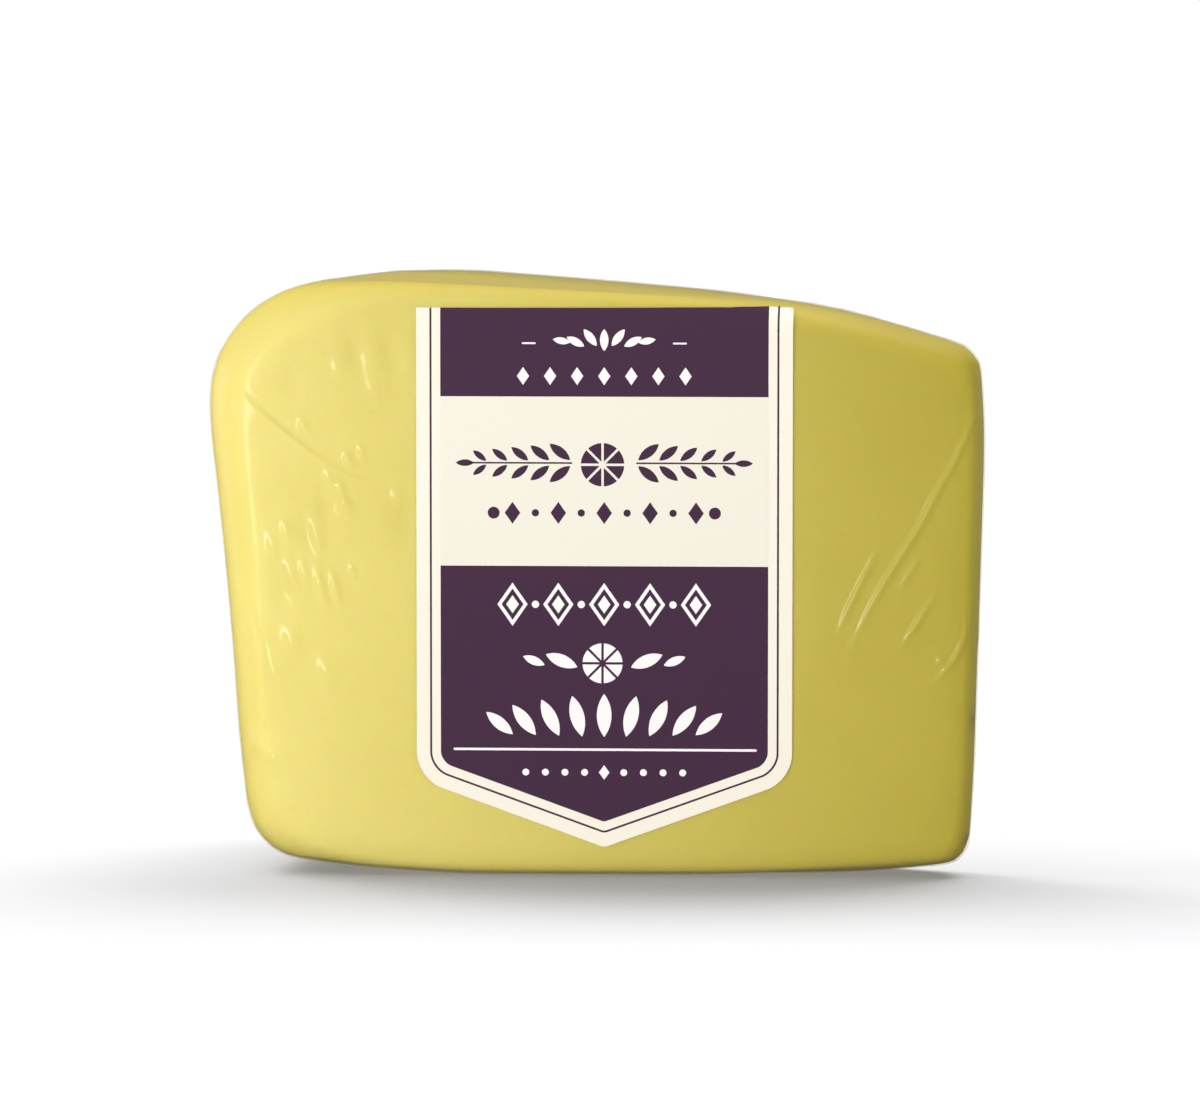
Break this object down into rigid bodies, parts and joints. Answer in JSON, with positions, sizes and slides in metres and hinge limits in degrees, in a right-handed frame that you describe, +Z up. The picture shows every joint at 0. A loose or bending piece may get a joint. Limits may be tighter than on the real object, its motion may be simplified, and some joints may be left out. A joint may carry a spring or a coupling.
{
  "type": "wrapped wedge of pecorino",
  "caption": "Pale yellow wedge of pecorino cut from a basket-moulded wheel, sealed in tight clear film, with a shield-shaped paper label on one cut face.",
  "frame": {"origin": "on the floor, under the middle of the bounding box", "axes": "+X from the rind of the wheel to the wedge's nose, -Y out of the labelled cut face, +Z up"},
  "size_m": [0.0956, 0.0468, 0.0728],
  "materials": {
    "cheese": "pale yellow cheese paste seen through tight clear film, satin gloss",
    "film": "clear shrunk film, glossy, with fine creases",
    "label_paper": "coated label paper with aubergine and cream fields, satin"
  },
  "bodies": {
    "root": {"wrapped_wedge": "cheese", "label": "label_paper"}
  },
  "joints": []
}
